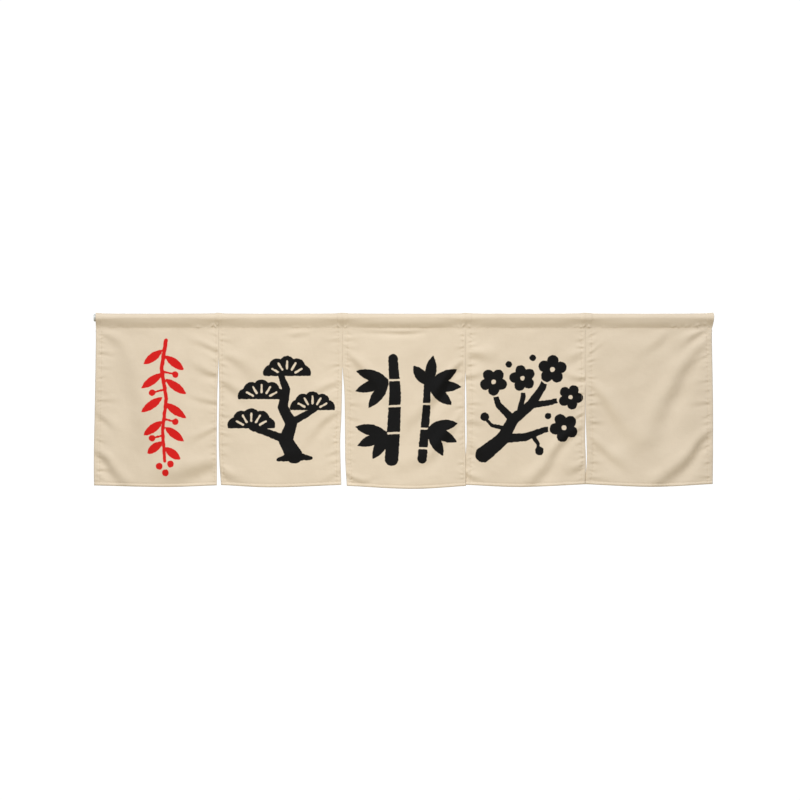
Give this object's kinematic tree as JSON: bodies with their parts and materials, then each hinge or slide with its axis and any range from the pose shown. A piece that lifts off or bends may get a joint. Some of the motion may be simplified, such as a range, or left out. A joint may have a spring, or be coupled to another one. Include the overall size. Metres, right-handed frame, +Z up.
{
  "type": "noren curtain on a rod",
  "caption": "Wide, short door curtain of plain cloth panels sewn edge to edge at the top, open slits below, hung by its sewn pocket on a plain round rod.",
  "frame": {"origin": "on the rod's axis, midway along the curtain", "axes": "+X along the rod to the right as seen from the front, +Y towards the back, +Z up"},
  "size_m": [1.7053, 0.0268, 0.4837],
  "materials": {
    "cloth": "plain weave, slightly lustrous, cream",
    "rod": "satin grey"
  },
  "bodies": {
    "root": {"panel_1": "cloth", "panel_2": "cloth", "panel_3": "cloth", "panel_4": "cloth", "panel_5": "cloth", "rod": "rod"}
  },
  "joints": []
}
